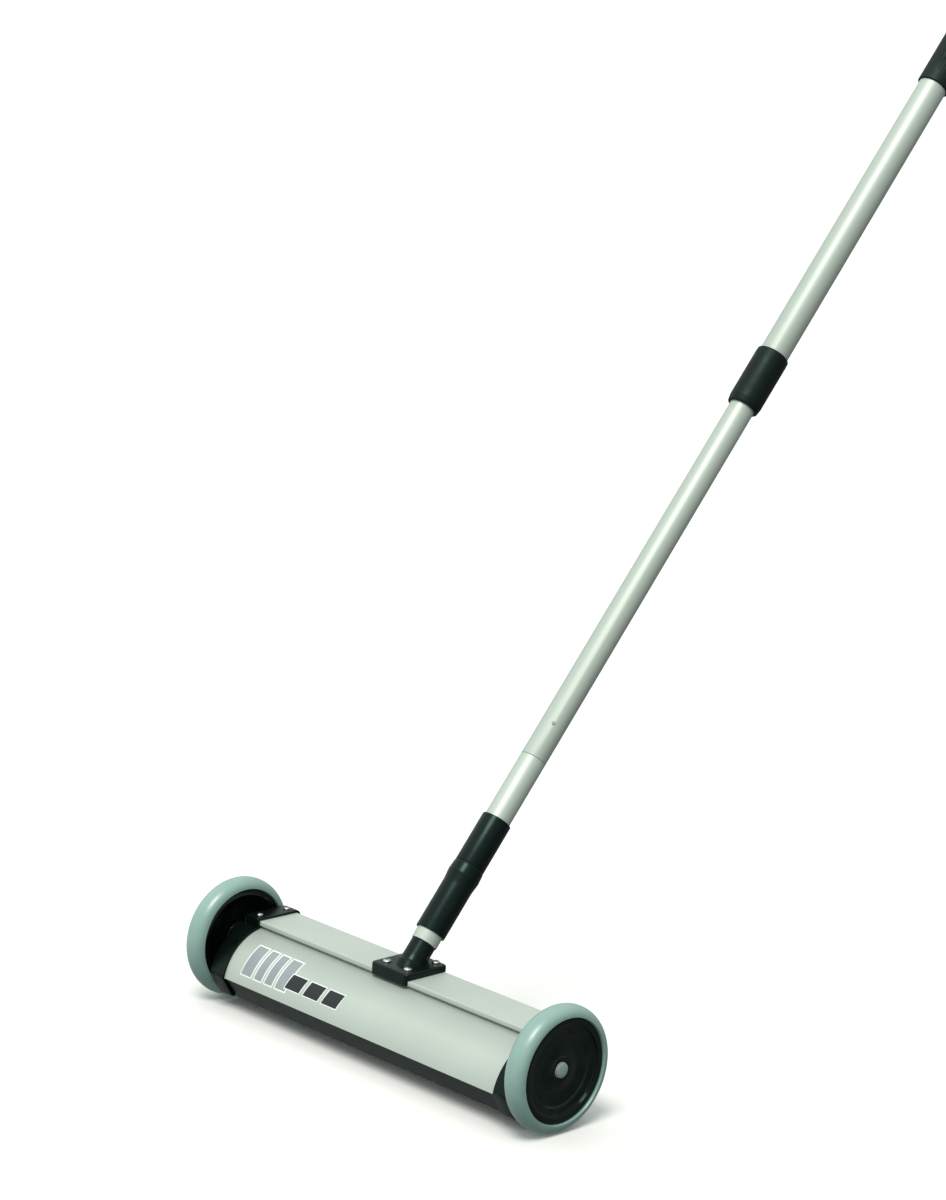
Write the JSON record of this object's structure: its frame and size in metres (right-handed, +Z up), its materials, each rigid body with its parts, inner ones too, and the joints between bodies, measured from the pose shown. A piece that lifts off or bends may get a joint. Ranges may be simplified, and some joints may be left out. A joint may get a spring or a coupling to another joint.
{
  "type": "magnetic floor sweeper",
  "caption": "Push-along magnetic sweeper on two wheels: a long housing with magnets that lift to drop the catch, and a leaning telescopic pole with a twist lock and a grip.",
  "frame": {"origin": "on the floor under the middle of the axle", "axes": "+X along the axle towards the right wheel, -Y towards the bowed front of the housing, +Z up; the pole leans back towards +Y"},
  "size_m": [0.497, 0.9363, 1.1166],
  "materials": {
    "paint": "satin light grey-green coat",
    "black_plastic": "moulded, slight sheen",
    "gloss_plastic": "moulded, glossy",
    "tyre_rubber": "light grey-green solid rubber, smooth tread",
    "aluminium": "satin anodised, drawn along its length",
    "steel_sheet": "rolled sheet",
    "screw_steel": "bright",
    "zinc": "dull grey-green plating",
    "nylon": "natural",
    "ferrite": "ground, dull",
    "grip_rubber": "soft, ribbed lengthwise"
  },
  "bodies": {
    "chassis": {"housing_shell": "paint", "bottom_cover": "black_plastic", "end_cap_left": "black_plastic", "end_cap_right": "black_plastic", "cap_screw_left_front": "screw_steel", "cap_screw_left_back": "screw_steel", "cap_screw_right_front": "screw_steel", "cap_screw_right_back": "screw_steel", "cover_screw_left_front": "screw_steel", "cover_screw_left_back": "screw_steel", "cover_screw_right_front": "screw_steel", "cover_screw_right_back": "screw_steel", "handle_bracket": "black_plastic", "bracket_screw_left_front": "screw_steel", "bracket_screw_left_back": "screw_steel", "bracket_screw_right_front": "screw_steel", "bracket_screw_right_back": "screw_steel", "base_tube": "aluminium", "post_set_screw": "screw_steel", "return_spring": "screw_steel", "spring_stop": "nylon", "mid_tube": "aluminium", "tube_coupling": "aluminium", "tube_end_guide": "nylon", "coupling_rivet": "screw_steel", "axle_bolt_left": "zinc", "axle_bolt_right": "zinc", "axle_nut_left": "zinc", "axle_nut_right": "zinc", "axle_washer_left": "zinc", "axle_washer_right": "zinc"},
    "release": {"release_sleeve": "black_plastic", "sleeve_top": "black_plastic", "cross_pin": "screw_steel", "lift_rod": "screw_steel", "spring_seat": "zinc", "magnet_carrier": "steel_sheet", "lift_block": "aluminium", "block_screw_left": "screw_steel", "block_screw_right": "screw_steel", "magnet_1": "ferrite", "magnet_2": "ferrite", "magnet_3": "ferrite", "magnet_4": "ferrite", "magnet_5": "ferrite"},
    "wheel_left": {"tyre_left": "tyre_rubber", "wheel_hub_left": "gloss_plastic", "hub_bush_left": "nylon"},
    "wheel_right": {"tyre_right": "tyre_rubber", "wheel_hub_right": "gloss_plastic", "hub_bush_right": "nylon"},
    "extension": {"upper_tube": "aluminium", "lock_ferrule": "nylon", "grip": "grip_rubber", "grip_plug": "black_plastic"},
    "lock_collar": {"lock_collar": "black_plastic"}
  },
  "joints": [
    {"name": "wheel_left_spin", "type": "hinge", "parent": "chassis", "child": "wheel_left", "pos_m": [-0.236, 0, 0.0635], "axis": [1, 0, 0], "continuous": true},
    {"name": "wheel_right_spin", "type": "hinge", "parent": "chassis", "child": "wheel_right", "pos_m": [0.236, 0, 0.0635], "axis": [1, 0, 0], "continuous": true},
    {"name": "release_lift", "type": "slide", "parent": "chassis", "child": "release", "axis": [0, 0.6347, 0.7727], "range_m": [0, 0.03], "stiffness_N_per_m": 600, "springref_m": -0.02, "deforming": ["return_spring"]},
    {"name": "extension_slide", "type": "slide", "parent": "chassis", "child": "extension", "axis": [0, 0.6347, 0.7727], "range_m": [-0.39, 0.04]},
    {"name": "lock_collar_twist", "type": "hinge", "parent": "extension", "child": "lock_collar", "pos_m": [0, 0.48785, 0.653], "axis": [0, 0.6347, 0.7727], "range_deg": [0, 90]}
  ]
}
